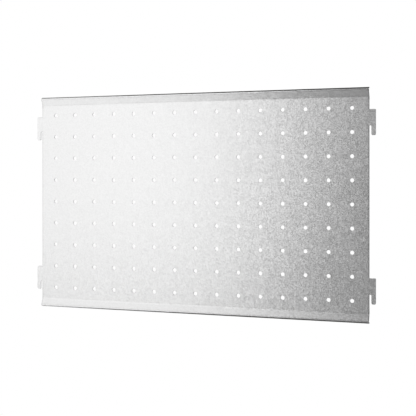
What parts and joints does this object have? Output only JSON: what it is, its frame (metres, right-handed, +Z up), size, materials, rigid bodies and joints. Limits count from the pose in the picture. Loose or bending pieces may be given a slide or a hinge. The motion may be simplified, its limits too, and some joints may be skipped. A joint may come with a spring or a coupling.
{
  "type": "pegboard tool wall",
  "caption": "Perforated steel tool wall panel: flat galvanised sheet with a grid of peg holes, flared and folded top and bottom edges, and side hooks that hang it between slotted uprights.",
  "frame": {"origin": "centre of the middle peg hole, halfway through the sheet", "axes": "+X along the panel's width to the right as seen from the front, +Y through the sheet to the back, +Z up"},
  "size_m": [0.6074, 0.0072, 0.3702],
  "materials": {
    "galvanised_sheet": "hot-dip galvanised steel sheet with a fine, minimised spangle, satin, uncoated"
  },
  "bodies": {
    "root": {"face_sheet": "galvanised_sheet", "top_flared_edge": "galvanised_sheet", "top_return_lip": "galvanised_sheet", "bottom_flared_edge": "galvanised_sheet", "bottom_return_lip": "galvanised_sheet", "hook_tab_upper_left": "galvanised_sheet", "hook_tab_lower_left": "galvanised_sheet", "hook_tab_upper_right": "galvanised_sheet", "hook_tab_lower_right": "galvanised_sheet"}
  },
  "joints": []
}
